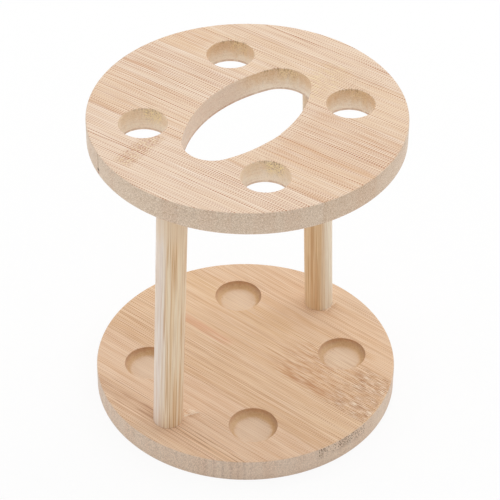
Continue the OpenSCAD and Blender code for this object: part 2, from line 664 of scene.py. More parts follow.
    def _threads(self, graph: Graph, spot: Spot) -> Sock:
        """Draws the dark fibre threads, broken into dashes.

        Args:
            graph: the material
            spot: the shaded point

        Returns:
            how strongly a thread shows
        """
        share = self._by_strip(graph, spot.across, [grey(s.thread) for s in self.strips])
        _, along, _ = graph.split(spot.fibre)
        place = spot.across / self.PITCH + graph.noise(spot.fibre, self.WANDER) * self.WANDER.share
        line = graph.maths("FLOOR", place)
        chance = graph.node("ShaderNodeTexWhiteNoise", {"noise_dimensions": "1D"}, {"W": line})
        own, other, _ = graph.split(graph.out(chance, "Color"))
        middle = abs(place - line - 0.5).below(self.THIN, self.THIN + self.THREAD_SOFT)
        coarse = middle * (own * self.unlike + 1 - self.unlike)
        wobble = graph.noise(spot.fibre, self.WOBBLE) * self.WOBBLE.share
        beat = graph.maths("SINE", (along / self.DASH + other * 0.5) * FULL_TURN + wobble) * 0.5 + 0.5
        lines = graph.mark(spot.fibre, self.DARK_LINES)
        crowd = graph.mark(spot.fibre, self.CROWD) + (1 - self.CROWD.share)
        marks = (coarse * self.bundle_share + lines * self.line_share) * crowd
        return marks * (beat * self.dash_share + (1 - self.dash_share)) * share

    def _streak(self, across: Sock, along: Sock, streak: Streak) -> Sock:
        """Masks one streak.

        Args:
            across: place across the grain
            along: place along the grain
            streak: the streak

        Returns:
            the mask
        """
        mask = across.near(streak.across, streak.half, streak.soft)
        if streak.high - streak.low >= 2 * self.FULL_HALF:
            return mask
        middle = (streak.low + streak.high) / 2
        return mask * along.near(middle, (streak.high - streak.low) / 2, self.STREAK_END)

    def _dots(self, graph: Graph, block: Sock, mask: Sock, grains: Sequence[Grain]) -> None:
        """Dots a cut wall with the ends of dark and of light fibres.

        Args:
            graph: the material
            block: place in the block
            mask: where and how strongly the dots show
            grains: grain of the dark dots and of the light ones
        """
        for grain, ink in zip(grains, (self.pore, self.light)):
            graph.coat(mask * graph.mark(block, grain), ink)

    def _bores(self, graph: Graph, spot: Spot) -> None:
        """Colours what the cutter left, the walls of holes and recesses and the recesses' floors, with
        painted light and painted shade on the walls by the way they face and painted shade at their foot.

        Args:
            graph: the material
            spot: the shaded point
        """
        x, y, z = graph.split(spot.block)
        inner = 1 - spot.brink
        low = z.below(self.floor + self.FLOOR_TOP, self.floor + self.floor_fade)
        floor = low * z.above(*(self.floor - band for band in self.FLOOR_LOW)) * inner
        graph.coat(floor * self.sunk_share, self.sunk)
        bore = (1 - low) * z.below(*(self.top - band for band in self.MOUTH)) * inner
        cloud = graph.noise(spot.block, self.CLOUD)
        # the walls are darker at the mouth and paler with depth, partly the cut wood's own colour and
        # partly painted shade
        fall = (self.top - z) / (self.top - self.floor)
        deep = (fall + cloud - 0.5).above(*self.FALL)
        tint = graph.mix(deep, tone(self.bore_mouth), tone(self.bore_depth))
        # painted light on the walls that face one heading, and painted shade on the walls that face left
        # as the camera sees them
        lit = graph.dot(spot.normal, self.lit_heading).above(*self.LIT)
        tint = graph.mix(lit * self.lit_share, tint, tone(self.sunk))
        dim = graph.dot(spot.normal, self.DIM_SIDE).above(*self.DIM)
        tint = graph.mix(dim * self.dim_share, tint, tone(self.DIM_INK))
        slot = graph.length(graph.vector(x / self.slot_half[0], y / self.slot_half[1], 0.0))
        slot = slot.below(*self.SLOT_EDGE) * x.below(*self.SLOT_REACH)
        tint = graph.mix(slot, tint, tone(self.SLOT_WALL))
        shallow = (fall + (cloud - 0.5) * self.GOLD_CLOUD).below(*self.GOLD_FALL)
        tint = graph.mix(x.above(*self.GOLD_REACH) * shallow * self.gold_share, tint, tone(self.GOLD))
        graph.colour = graph.mix(bore * self.BORE_SHARE, graph.colour, tint)
        graph.coat(bore * graph.mark(spot.block, self.RINGS), self.edge)
        self._dots(graph, spot.block, bore * self.dot_share, self.BORE_DOTS)
        # painted shade: a darker band at the foot of the walls that face the camera
        burnt = z.above(self.burn_low, self.burn_low + self.BURN_START)
        burnt = burnt * z.below(self.burn_high - self.BURN_END, self.burn_high)
        burnt = burnt * graph.dot(spot.normal, self.BURN_SIDE).above(*self.BURN_FACING) * inner
        graph.coat(burnt * cloud.above(*self.BURN_CLOUD) * self.BURN_SHARE, self.BURN)

    def _rim(self, graph: Graph, spot: Spot) -> Sock:
        """Greys the board's rim and puts the ends of the fibres on it.

        Args:
            graph: the material
            spot: the shaded point

        Returns:
            how deep the pores and cracks are
        """
        _, y, z = graph.split(spot.block)
        outer = spot.wall * spot.brink
        depth = (self.top - z) / self.THICKNESS
        graph.coat(outer * self.RIM_SHARE, self.rim)
        graph.coat(outer * graph.mark(spot.block, self.RIM_CLOUD), self.edge)
        self._dots(graph, spot.block, outer, self.RIM_DOTS)
        share = self._by_strip(graph, spot.across, [grey(s.pores) for s in self.strips])
        cells = graph.vectors("MULTIPLY", spot.block, tuple(1 / s for s in self.PORE_CELL))
        sockets = {"Vector": cells, "Scale": 1.0, "Randomness": self.PORE_RANDOM}
        ends = graph.out(graph.node("ShaderNodeTexVoronoi", None, sockets)).below(*self.PORE_HALF)
        pores = outer * ends * share * depth.below(*self.PORE_DEPTH)
        graph.coat(pores, self.pore)
        for crack in self.cracks:
            middle = (crack.low + crack.high) / 2
            mask = outer * spot.across.near(crack.across, crack.half, self.CRACK_SOFT)
            mask = mask * y.above(*self.CRACK_FRONT)
            mask = mask * z.near(middle, (crack.high - crack.low) / 2, self.CRACK_END) * crack.strength
            graph.coat(mask, crack.colour)
            pores = pores + mask
        graph.coat(outer * depth.above(*self.LOWER) * self.LOWER_SHARE, self.edge)
        return pores

    def _damage(self, graph: Graph, spot: Spot) -> None:
        """Darkens torn fibre and lightens lifted fibre, which the mesh marks.

        Where the pale mark is above 1, the wood is pale all over.

        Args:
            graph: the material
            spot: the shaded point
        """
        torn, pale = (
            graph.out(graph.node("ShaderNodeAttribute", {"attribute_name": name}), "Fac")
            for name in (Wood.TORN, Wood.PALE)
        )
        grain = graph.noise(spot.fibre, Grain(self.dashes, 15))
        broken = grain.below(*self.TORN_GAPS) * self.TORN_BROKEN + (1 - self.TORN_BROKEN)
        graph.coat(torn * broken * self.TORN_SHARE, self.torn)
        raised = pale * grain.above(self.lifted, self.lifted + self.LIFTED_SOFT) * self.LIFTED_SHARE
        graph.coat(raised + pale.above(*self.BARE) * self.BARE_SHARE, self.pale)
        graph.coat(pale * grain.below(*self.HUSK) * self.husk_share, self.pore)


@dataclass(frozen=True)
class DowelFinish:
    """Sanded bamboo dowel: fibres along its length, tan, with painted light that makes one side pale and
    the top paler.
    """

    DRIFT = Grain((3, 3, 60), 2, share=4)
    BROAD = Grain((1.5, 1.5, 70), 9, 0.44, 0.62, 0.4)
    CREAM = Grain((0.5, 0.5, 55), 24, 0.52, 0.64, 0.6)
    LINES = Grain((0.42, 0.42, 40), 4, 0.5, 0.62)
    HAIR = Grain((0.26, 0.26, 16), 14, 0.5, 0.66, 0.22, layers=0)
    GRIT = Grain((0.16, 0.16, 0.7), 5)
    # Width of the fade into the pale side, which is painted light, and what that side spares of each mark
    PALE_FADE, PALE_SPARED = 2.2, 0.3
    THREAD_SHARE = 0.5
    # Length of the fade into the painted light at the dowel's top, where it stands in the board's shadow,
    # and its share
    HEAD_FADE, HEAD_SHARE = 10.0, 0.6
    # Relief, its depth in metres, and roughness
    GRIT_RISE, LINE_SINK, RELIEF = 0.3, 0.4, 0.07 * MM
    ROUGHNESS, PALE_POLISH, GRIT_MATT = 0.58, 0.08, 0.14

    name: str
    place: Matrix
    pale_from: float
    pale: str
    tan: str
    thread: str
    streak: str
    cream: str
    # Paler, greyer colour painted as light on the dowel's top
    head: str
    # Heading of the side that gets the painted light
    pale_heading: float = VIEW
    head_from: float = 90.0

    def material(self) -> bpy.types.Material:
        """Builds the dowel's material.

        Returns:
            the material
        """
        graph = Graph(bpy.data.materials.new(self.name))
        block = graph.block(self.place)
        # painted light: one side of the dowel is painted pale where side light falls
        side = graph.dot(block, self.pale_heading)
        drift = (graph.noise(block, self.DRIFT) - 0.5) * self.DRIFT.share
        light = (side + drift).above(self.pale_from, self.pale_from + self.PALE_FADE)
        spared = light * self.PALE_SPARED
        graph.colour = graph.mix(light, tone(self.tan), tone(self.pale))
        graph.coat(graph.mark(block, self.BROAD, spared), self.streak)
        graph.coat(graph.mark(block, self.CREAM, spared), self.cream)
        lines = graph.mark(block, self.LINES)
        threads = lines * (self.THREAD_SHARE - spared) + graph.mark(block, self.HAIR)
        graph.coat(threads, self.thread)
        _, _, up = graph.split(block)
        # painted light: the dowel's top, in the upper board's shadow, is painted paler and greyer
        graph.coat(up.above(self.head_from, self.head_from + self.HEAD_FADE) * self.HEAD_SHARE, self.head)
        grit = graph.noise(block, self.GRIT)
        height = grit * self.GRIT_RISE - lines * self.LINE_SINK
        roughness = self.ROUGHNESS - light * self.PALE_POLISH + (grit - 0.5) * self.GRIT_MATT
        return graph.surface(roughness, height, self.RELIEF, WOOD_GLOSS)


@dataclass(frozen=True)
class PlatedSteelFinish:
    """Zinc-plated screw steel: grey metal with a fine turned grain and dull patches."""

    CLOUD = Grain((1.6, 1.6, 1.6), 1, layers=2)
    LATHE = Grain((0.5, 0.5, 0.06), 6)

    name: str = "zinc_plated_steel"
    dull: str = "b4b7bb"
    bright: str = "cfd0cf"
    groove: str = "8f9297"
    cloud_fade: Pair = (0.35, 0.65)
    groove_fade: Pair = (0.5, 0.7)
    groove_share: float = 0.25
    groove_depth: float = 0.02 * MM
    roughness: float = 0.3
    cloud_roughness: float = 0.22

    def material(self) -> bpy.types.Material:
        """Builds the screws' material.

        Returns:
            the material
        """
        graph = Graph(bpy.data.materials.new(self.name))
        block = graph.block()
        cloud = graph.noise(block, self.CLOUD)
        lathe = graph.noise(block, self.LATHE)
        graph.colour = graph.mix(cloud.above(*self.cloud_fade), tone(self.dull), tone(self.bright))
        graph.coat(lathe.above(*self.groove_fade) * self.groove_share, self.groove)
        roughness = self.roughness + cloud * self.cloud_roughness
        return graph.surface(roughness, lathe, self.groove_depth, {"Metallic": 1.0})


@dataclass(frozen=True)
class PaperFinish:
    """White studio paper: it reads as white to the camera and keeps a soft shadow."""

    TOOTH = Grain((4, 4, 4), layers=2)

    name: str = "studio_paper"
    low: str = "fafafa"
    high: str = "ffffff"
    roughness: float = 0.5
    shadow_share: float = 0.12

    def material(self) -> bpy.types.Material:
        """Builds the floor's material.

        Returns:
            the material
        """
        graph = Graph(bpy.data.materials.new(self.name))
        colour = graph.mix(graph.noise(graph.block(), self.TOOTH), tone(self.low), tone(self.high))
        matt = graph.node("ShaderNodeBsdfDiffuse", None, {"Color": colour, "Roughness": self.roughness})
        glow = graph.node("ShaderNodeEmission", None, {"Color": WHITE, "Strength": 1.0})
        sockets = {0: graph.seen() * (1 - self.shadow_share), 1: graph.out(matt), 2: graph.out(glow)}
        both = graph.node("ShaderNodeMixShader", None, sockets)
        graph.node("ShaderNodeOutputMaterial", None, {"Surface": graph.out(both)})
        return graph.owner


@dataclass(frozen=True)
class Corner:
    """One corner of a profile that is turned about an upright axis."""

    radius: float
    height: float
    rounding: float = 0.0


@dataclass(frozen=True)
class Patch:
    """A rectangle of a level face, in the board's own frame."""

    left: float
    right: float
    front: float
    back: float

    def holds(self, point: Vector) -> bool:
        """Says whether a point lies over the patch."""
        return self.left < point.x < self.right and self.front < point.y < self.back


@dataclass(frozen=True)
class Rim:
    """Part of the rim of a hole in a level face, round the angle at its middle."""

    centre: Vector
    radius: float
    height: float
    middle: float
    half: float


@dataclass(frozen=True)
class Relief:
    """What happens to a point of a face: its rise, and how torn and how pale the wood is there."""

    rise: float = 0.0
    torn: float = 0.0
    pale: float = 0.0


def clip(value: float) -> float:
    """Keeps a number between 0 and 1."""
    return max(0.0, min(1.0, value))


def ruffle(point: Vector, across: float, along: float, layer: float, sway: float = 0.0) -> float:
    """Reads level noise whose patches have the given size.

    Args:
        point: place on the face
        across: length of a patch along X
        along: length of a patch along Y
        layer: height in the noise, so that two noises differ
        sway: how far the noise is moved across

    Returns:
        noise from -1 to 1
    """
    return noise.noise(Vector((point.x / across + sway, point.y / along, layer)))


@dataclass(frozen=True)
class Flap:
    """A sliver that has lifted from a face, with a broken front edge of pale fibre and a painted
    highlight along it, and a scoop before it.
    """

    patch: Patch
    start: Vector
    end: Vector
    back: Vector
    rise: float
    scoop: float
    # Strength of the pale fibre and of the painted highlight
    shine: float = 1.0
    pitch: Pair = (0.3 * MM, 0.3 * MM)
    reach: float = 2.5 * MM
    ragged: float = 0.2 * MM
    tooth: Pair = (0.5 * MM, 2.0 * MM)
    tooth_layer: float = 9.0
    side: float = 0.5 * MM
    edge: float = 0.35 * MM
    torn_share: float = 0.4
    pale_share: float = 0.8
    edge_shine: float = 1.1

    def relief(self, point: Vector) -> Relief:
        """Shapes one point of the face.

        Args:
            point: place on the face

        Returns:
            its relief
        """
        front = self.end - self.start
        along = front.normalized()
        inward = Vector((-along.y, along.x))
        depth = (self.back - self.start).dot(inward)
        if depth < 0:
            inward.negate()
            depth = -depth
        arm = point.xy - self.start
        behind = arm.dot(inward) + self.ragged * ruffle(point, *self.tooth, self.tooth_layer)
        run = arm.dot(along)
        lean = (self.back - self.start).dot(along) * behind / depth
        spare = min(run - lean, front.length * (1 - behind / depth) + lean - run)
        if behind < 0:
            fade = max(0.0, 1 + behind / self.reach) * clip(spare / (2 * self.side))
            return Relief(-self.scoop * fade, self.torn_share * fade)
        inside = clip(spare / self.side)
        lift = inside * max(0.0, 1 - behind / depth)
        # the broken front edge: pale fibre with a painted highlight along it
        bright = max(0.0, 1 - behind / (2 * self.edge))
        pale = inside * (self.pale_share + self.edge_shine * bright) * self.shine
        return Relief(self.rise * lift * min(1.0, behind / self.edge), 0.0, pale)


@dataclass(frozen=True)
class TornGrain:
    """Torn grain at a knuckle, over a patch at the front of a board, up to its rounded edge."""

    patch: Patch
    flat_radius: float
    pitch: Pair = (0.28 * MM, 0.8 * MM)
    back: float = -38.0 * MM
    side_fade: float = 1.5 * MM
    back_fade: float = 6.0 * MM
    rim_fade: float = 0.6 * MM
    sway: tuple[float, float, float] = (5.0 * MM, 9.0 * MM, 3.3)
    split: tuple[float, float, float] = (0.6 * MM, 5.0 * MM, 1.7)
    breaks: tuple[float, float, float] = (3.0 * MM, 4.0 * MM, 5.1)
    whole_share: float = 0.6
    break_share: float = 1.4
    depth: float = 0.018 * MM
    torn_share: float = 0.8
    pale_share: float = 0.78

    def relief(self, point: Vector) -> Relief:
        """Shapes one point of the face.

        Args:
            point: place on the face

        Returns:
            its relief
        """
        inside = min(point.x - self.patch.left, self.patch.right - point.x) / self.side_fade
        front = (self.back - point.y) / self.back_fade
        rim = (self.flat_radius - point.xy.length) / self.rim_fade
        split = ruffle(point, *self.split, ruffle(point, *self.sway))
        patchy = clip(self.whole_share + self.break_share * ruffle(point, *self.breaks))
        fade = max(0.0, min(1.0, inside, front, rim))
        fade *= patchy
        return Relief(self.depth * fade * split, self.torn_share * fade, self.pale_share * fade)


class Wood:
    """A block of wood in the making: a mesh and the cuts that shape it."""

    TORN = "torn"
    PALE = "pale"
    # How far down a hole's wall the loose fibres and the torn teeth reach
    FUZZ_DEPTH = 7 * MM
    TOOTH_DEPTH = 1.4 * MM
    # Depth over which loose fibres come in, and how steeply they end
    FUZZ_START, FUZZ_END = 0.4 * MM, 1.6
    # Size and weight of the noises that cut the teeth, and the deepest share that they take
    TOOTH_SIZE, TOOTH_WEIGHT = 0.3 * MM, 1.6
    CHUNK_SIZE, CHUNK_WEIGHT = 1.3 * MM, 0.25
    DEEPEST = 0.8
    # How far a tooth goes outwards for its depth, and how dark its bite is
    OUTWARD, BITE_MARK = 0.6, 2.4
    # Power of the fall towards the ends of a part of a rim
    PART_POWER = 4

    def __init__(self) -> None:
        """Starts an empty block with its two marks."""
        self.mesh = bmesh.new()
        self.torn = self.mesh.verts.layers.float.new(self.TORN)
        self.pale = self.mesh.verts.layers.float.new(self.PALE)

    def turn(
        self,
        profile: Sequence[Corner],
        steps: int,
        place: Matrix = Matrix.Identity(4),
        start: float = 0.0,
        sweep: float = FULL_TURN,
        between: Pair | None = None,
    ) -> None:
        """Turns a profile about the upright axis and adds the surface.

        Args:
            profile: its corners, in order
            steps: number of steps round the sweep
            place: where the turned surface goes
            start: angle at which the sweep begins
            sweep: angle that it covers
            between: heights outside which the placed surface is cut away
        """
        tool = bmesh.new()
        points = [tool.verts.new((c.radius, 0.0, c.height)) for c in profile]
        for first, second in zip(points, points[1:]):
            tool.edges.new((first, second))
        for point, corner in zip(points, profile):
            if corner.rounding:
                bmesh.ops.bevel(tool, geom=[point], offset=corner.rounding, offset_type="OFFSET",
                                segments=ROUND_STEPS, profile=0.5, affect="VERTICES", material=-1,
                                clamp_overlap=False)
        for edge in [e for e in tool.edges if e.calc_length() > ROW]:
            bmesh.ops.subdivide_edges(tool, edges=[edge], cuts=int(edge.calc_length() / ROW))
        bmesh.ops.rotate(tool, verts=tool.verts[:], matrix=Matrix.Rotation(start, 3, "Z"))
        bmesh.ops.spin(tool, geom=tool.verts[:] + tool.edges[:], axis=(0, 0, 1), angle=sweep,
                       steps=steps, use_merge=sweep == FULL_TURN)
        bmesh.ops.remove_doubles(tool, verts=tool.verts[:], dist=TINY)
        bmesh.ops.transform(tool, verts=tool.verts[:], matrix=place)
        for height, outwards in zip(between or (), (-1, 1)):
            bmesh.ops.bisect_plane(tool, geom=tool.verts[:] + tool.edges[:] + tool.faces[:], dist=TINY,
                                   plane_co=(0, 0, height), plane_no=(0, 0, outwards), clear_outer=True)
        self._add(tool)

    def _add(self, tool: bmesh.types.BMesh) -> None:
        """Moves a finished surface into the block.

        Args:
            tool: the surface, which is used up
        """
        loose = bpy.data.meshes.new("cut")
        tool.to_mesh(loose)
        tool.free()
        self.mesh.from_mesh(loose)
        bpy.data.meshes.remove(loose)
        self.torn = self.mesh.verts.layers.float[self.TORN]
        self.pale = self.mesh.verts.layers.float[self.PALE]

    def close(self, height: float) -> None:
        """Fills the level face between all the open rims at a height.

        Args:
            height: the face's height
        """
        bmesh.ops.remove_doubles(self.mesh, verts=self.mesh.verts[:], dist=TINY)
        rims = [e for e in self.mesh.edges
                if e.is_boundary and all(abs(v.co.z - height) < TINY for v in e.verts)]
        bmesh.ops.triangle_fill(self.mesh, use_beauty=True, edges=rims, normal=(0, 0, 1))

    def refine(self, patch: Patch, height: float, pitch: Pair) -> None:
        """Cuts a grid into a patch of a level face.

        Args:
            patch: the part of the face
            height: the face's height
            pitch: pitch of the grid along X and along Y
        """
        level = [f for f in self.mesh.faces if all(abs(v.co.z - height) < TINY for v in f.verts)]
        spans = ((patch.left, patch.right), (patch.front, patch.back))
        sides = [(side, axis) for axis, span in enumerate(spans) for side in span]
        geometry = self._slice(self._parts(level), sides)
        inside = [g for g in geometry if isinstance(g, bmesh.types.BMFace)
                  and patch.holds(g.calc_center_median())]
        lines = []
        for axis, (low, high) in enumerate(spans):
            count = round((high - low) / pitch[axis])
            lines += [(low + i * (high - low) / count, axis) for i in range(1, count)]
        self._slice(self._parts(inside), lines)

    @staticmethod
    def _parts(faces: Iterable[bmesh.types.BMFace]) -> list[Any]:
        """Lists faces with their edges and corners, each once.

        Args:
            faces: the faces

        Returns:
            the list
        """
        parts: dict[Any, None] = {}
        for face in faces:
            parts.update(dict.fromkeys([face, *face.edges, *face.verts]))
        return list(parts)

    def _slice(self, geometry: list[Any], lines: Iterable[tuple[float, int]]) -> list[Any]:
        """Cuts geometry along upright planes.

        Args:
            geometry: faces, edges and corners to cut
            lines: place of each plane, and the axis that it crosses

        Returns:
            the geometry with its new cuts
        """
        for place, axis in lines:
            facing = Vector((0.0, 0.0, 0.0))
            facing[axis] = 1.0
            made = bmesh.ops.bisect_plane(self.mesh, geom=geometry, dist=TINY,
                                          plane_co=facing * place, plane_no=facing)
            geometry = made["geom"]
        return geometry

    def carve(self, patch: Patch, height: float, shape: Callable[[Vector], Relief]) -> None:
        """Raises, lowers and marks a level face.

        Args:
            patch: the part of the face
            height: the face's height
            shape: relief at a point
        """
        for vert in self.mesh.verts:
            if abs(vert.co.z - height) < TINY and patch.holds(vert.co):
                relief = shape(vert.co)
                vert.co.z += relief.rise
                vert[self.torn] = relief.torn
                vert[self.pale] = relief.pale

    def _wall_points(self, rim: Rim) -> Iterable[tuple[bmesh.types.BMVert, Vector, float, float]]:
        """Finds the points of part of a hole's wall and of the ring round its mouth.

        Args:
            rim: the part of the hole's rim

        Returns:
            each point, its way from the centre, its depth and how far inside the part it is
        """
        for vert in self.mesh.verts:
            arm = Vector((vert.co.x - rim.centre.x, vert.co.y - rim.centre.y, 0.0))
            drop = rim.height - vert.co.z
            if drop > self.FUZZ_DEPTH or not rim.radius - TINY < arm.length < rim.radius + HOLD:
                continue
            off = abs((math.atan2(arm.y, arm.x) - rim.middle + math.pi) % FULL_TURN - math.pi)
            if off < rim.half:
                yield vert, arm.normalized(), drop, 1 - (off / rim.half) ** self.PART_POWER

    def fray(self, rim: Rim, depth: float) -> None:
        """Tears part of the rim of a hole.

        Args:
            rim: the part of the rim
            depth: how far the deepest teeth reach
        """
        for vert, away, drop, fade in list(self._wall_points(rim)):
            tooth = noise.noise(Vector((vert.co.x, vert.co.y, 0.0)) / self.TOOTH_SIZE)
            chunk = noise.noise(vert.co / self.CHUNK_SIZE)
            low = max(0.0, 1 - drop / self.TOOTH_DEPTH)
            cut = tooth * self.TOOTH_WEIGHT + chunk * self.CHUNK_WEIGHT
            bite = fade * max(0.0, min(self.DEEPEST, cut)) * low
            vert.co += away * depth * self.OUTWARD * bite
            vert.co.z -= depth * bite * low
            vert[self.torn] = min(1.0, bite * self.BITE_MARK)

    def fuzz(self, rim: Rim, share: float) -> None:
        """Marks loose fibre on the wall under part of the rim of a hole.

        Args:
            rim: the part of the rim
            share: how strong the mark is
        """
        for vert, _, drop, fade in self._wall_points(rim):
            reach = min(1.0, self.FUZZ_END * (1 - drop / self.FUZZ_DEPTH))
            vert[self.pale] = share * fade * reach * min(1.0, drop / self.FUZZ_START)

    def finish(self, name: str, place: Matrix) -> bpy.types.Object:
        """Makes the finished object.

        Args:
            name: the piece's name
            place: turn and place of the whole block

        Returns:
            the object, at the origin with its place in its mesh
        """
        bmesh.ops.transform(self.mesh, verts=self.mesh.verts[:], matrix=place)
        bmesh.ops.recalc_face_normals(self.mesh, faces=self.mesh.faces[:])
        for face in self.mesh.faces:
            face.smooth = True
        for edge in self.mesh.edges:
            edge.smooth = edge.calc_face_angle(0.0) < CRISP_ANGLE
        open_edges = sum(not e.is_manifold for e in self.mesh.edges)
        LOG.info("%s: %d faces, %d open edges", name, len(self.mesh.faces), open_edges)
        data = bpy.data.meshes.new(name)
        self.mesh.to_mesh(data)
        self.mesh.free()
        piece = bpy.data.objects.new(name, data)
        bpy.context.scene.collection.objects.link(piece)
        return piece


def dress(piece: bpy.types.Object, finish: bpy.types.Material, node: str) -> None:
    """Gives a piece its finish and its part in the frame.

    Args:
        piece: the new piece
        finish: its material
        node: CAD node that the piece stands for
    """
    piece.data.materials.append(finish)
    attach(piece, BODY)
    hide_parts(node)


@dataclass(frozen=True)
class Layout:
    """Sizes that the boards and the posts share."""

    board_radius: float = 60 * MM
    board_thickness: float = 9.6 * MM
    overall_height: float = 131.5 * MM
    edge_round: float = 0.5 * MM
    edge_steps: int = 480
    board_turn: float = math.radians(5.2)
    brush_places: int = 4
    first_place: float = math.radians(45)
    brush_centre_radius: float = 39.125 * MM
    mouth_round: float = 0.12 * MM
    post_centre_radius: float = 46.65 * MM
    post_radius: float = 5.8 * MM
    socket_depth: float = 5.5 * MM
    socket_steps: int = 96
    glue_gap: float = 0.02 * MM

    @property
    def upper_height(self) -> float:
        """Height of the upper board's underside."""
        return self.overall_height - self.board_thickness

    @property
    def lean(self) -> Vector:
        """Way from a post's foot to its head, for the post at +X."""
        foot = Vector((self.post_centre_radius, 0.0, self.board_thickness))
        head = Matrix.Rotation(self.board_turn, 3, "Z") @ foot
        return head - foot + Vector((0.0, 0.0, self.upper_height - self.board_thickness))

    def post_axis(self, half_turn: float) -> Matrix:
        """Places what stands on a post's leaning axis, with 0 at the post's foot.

        Args:
            half_turn: 0 for the post at +X, pi for the one at -X

        Returns:
            the placing matrix
        """
        tilt = Vector((0.0, 0.0, 1.0)).rotation_difference(self.lean).to_matrix().to_4x4()
        foot = Matrix.Translation((self.post_centre_radius, 0.0, self.board_thickness))
        return Matrix.Rotation(half_turn, 4, "Z") @ foot @ tilt

    def brush_centres(self) -> list[Vector]:
        """Finds the brush places.

        Returns:
            their centres in a board's own frame
        """
        arm = Vector((self.brush_centre_radius, 0.0, 0.0))
        turns = [self.first_place + i * FULL_TURN / self.brush_places for i in range(self.brush_places)]
        return [Matrix.Rotation(a, 3, "Z") @ arm for a in turns]

    def blank(self, wood: Wood, low: float) -> None:
        """Turns the rounded edge of a board.

        Args:
            wood: the board in the making
            low: height of its underside
        """
        high = low + self.board_thickness
        inner = self.board_radius - self.edge_round - HOLD
        wood.turn([Corner(inner, high), Corner(self.board_radius, high, self.edge_round),
                   Corner(self.board_radius, low, self.edge_round), Corner(inner, low)], self.edge_steps)


@dataclass
class BaseBoard:
    """The board that stands on the table, with a shallow recess for each brush."""

    STRIPS = table(Strip, (-62, "e5c7a9", 0.75), (-44, "e6c8ab", 0.6), (-22, "e7caa9", 0.85, 0.95),
                   (1.5, "e8caa8", 0.8), (27.6, "e5c6a6", 0.6), (51, "e4c5a6", 0.55))
    # A streak without a start and an end of its own runs right along the board
    STREAKS = table(
        Streak,
        (-48.5, 2.2, 1.6, 0.5, "b78c6c", 4, 44),
        (-54, 0.3, 0.4, 0.4, "b5825e", -40, 30),
        (-52.3, 0.2, 0.2, 0.5, "a9765a", -44, 20),
        (-50.6, 0.2, 0.2, 0.5, "9a6e50", -44, 10),
        (-48.8, 0.22, 0.2, 0.55, "94684a", -44, 10),
        (-47.2, 0.16, 0.2, 0.55, "94684a", -60, 10),
        (-45.6, 0.16, 0.2, 0.5, "9a6e50", -60, -4),
        (-43.9, 0.16, 0.2, 0.45, "a9765a", -60, 30),
        (-39.5, 0.4, 0.5, 0.3, "c99d78"),
        (-35, 0.3, 0.4, 0.25, "c99d78", -60, 20),
        (-31, 0.4, 0.5, 0.25, "c99d78"),
        (-26, 1.2, 0.8, 0.2, "cfa47e"),
        (-22, 0.3, 0.4, 0.4, "b98a60"),
        (-20.3, 0.5, 0.5, 0.4, "c09068"),
        (-16.5, 2, 1.6, 0.28, "cca078"),
        (-12, 0.4, 0.4, 0.35, "c0946e"),
        (-8, 0.5, 0.5, 0.3, "c79c76", -30, 60),
        (-3, 1, 0.8, 0.25, "cfa47e"),
        (2.6, 1.3, 1.8, 0.46, "d99a7a", 14, 34),
        (6.5, 0.4, 0.4, 0.3, "c79c76", -10, 60),
        (16, 0.4, 0.5, 0.35, "c79c76", -10, 60),
        (20.5, 0.3, 0.4, 0.3, "c79c76", -10, 60),
        (4.6, 1.2, 1, 0.6, "bb8354", -40, -20),
        (8.2, 0.3, 0.3, 0.4, "bd8654", -40, -8),
        (10.6, 0.22, 0.3, 0.35, "b98458", -44, -4),
        (13.4, 0.3, 0.3, 0.4, "bd8654", -36, -12),
        (17.8, 0.25, 0.3, 0.35, "b98458", -40, -8),
        (20.8, 0.3, 0.3, 0.35, "bd8654", -34, -14),
        (27.6, 0.25, 0.3, 0.5, "b98a60", -60, -30),
        (33.5, 1.2, 1, 0.4, "cfa272", -36, 24),
        (24, 5, 2, 0.3, "d8b080", 0, 60),
        (38, 0.3, 0.5, 0.35, "c0946e"),
        (41, 0.3, 0.4, 0.3, "c79c76"),
        (43.5, 0.3, 0.4, 0.35, "c79c76"),
        (46.2, 0.3, 0.4, 0.3, "c79c76"),
        (48.6, 0.8, 0.6, 0.3, "cca07a"),
    )
    KNUCKLES = table(Knuckle, (13, 12, -26, 20, 0.25, 0.24, 0.35, 0.5, 0.3, 7, "b57c4e"),
                     (15, 13, -48, 12, 0.1, 0.14, 0.35, 0.5, 0.35, 5, "a9703f"))

    layout: Layout
    recess_radius: float = 9.55 * MM
    recess_mouth: float = 0.2 * MM
    recess_depth: float = 3.3 * MM
    recess_steps: int = 144
    cove_height: float = 2.9 * MM
    cove_width: float = 4.2 * MM
    cove_steps: int = 20
    screw_radius: float = 1.8 * MM
    neck_height: float = -7.45 * MM
    head_radius: float = 3.55 * MM
    head_height: float = -9.2 * MM
    tear: Patch = Patch(0.6 * MM, 28.0 * MM, -60.0 * MM, -34.0 * MM)
    left_sliver: Flap = Flap(
        Patch(-44.0 * MM, -34.0 * MM, -12.0 * MM, 3.0 * MM), Vector((-42.3, -3.9)) * MM,
        Vector((-35.9, -7.4)) * MM, Vector((-38.0, -0.2)) * MM, 0.3 * MM, 0.08 * MM
    )
    right_sliver: Flap = Flap(
        Patch(40.0 * MM, 54.0 * MM, -9.0 * MM, 2.0 * MM), Vector((43.8, -6.4)) * MM,
        Vector((51.3, -5.6)) * MM, Vector((50.6, 1.0)) * MM, 0.15 * MM, 0.05 * MM, 0.75
    )

    def build(self) -> bpy.types.Object:
        """Cuts the board, its recesses and its stepped post holes.

        Returns:
            the piece
        """
        wood = Wood()
        top = self.layout.board_thickness
        self.layout.blank(wood, 0.0)
        for centre in self.layout.brush_centres():
            self._recess(wood, centre)
        for side in Side:
            self._post_hole(wood, side.value)
        wood.close(top)
        wood.close(0.0)
        flat = self.layout.board_radius - self.layout.edge_round
        damages = (TornGrain(self.tear, flat), self.left_sliver, self.right_sliver)
        for damage in damages:
            wood.refine(damage.patch, top, damage.pitch)
        for damage in damages:
            wood.carve(damage.patch, top, damage.relief)
        return wood.finish("base_board_wood", Matrix.Identity(4))

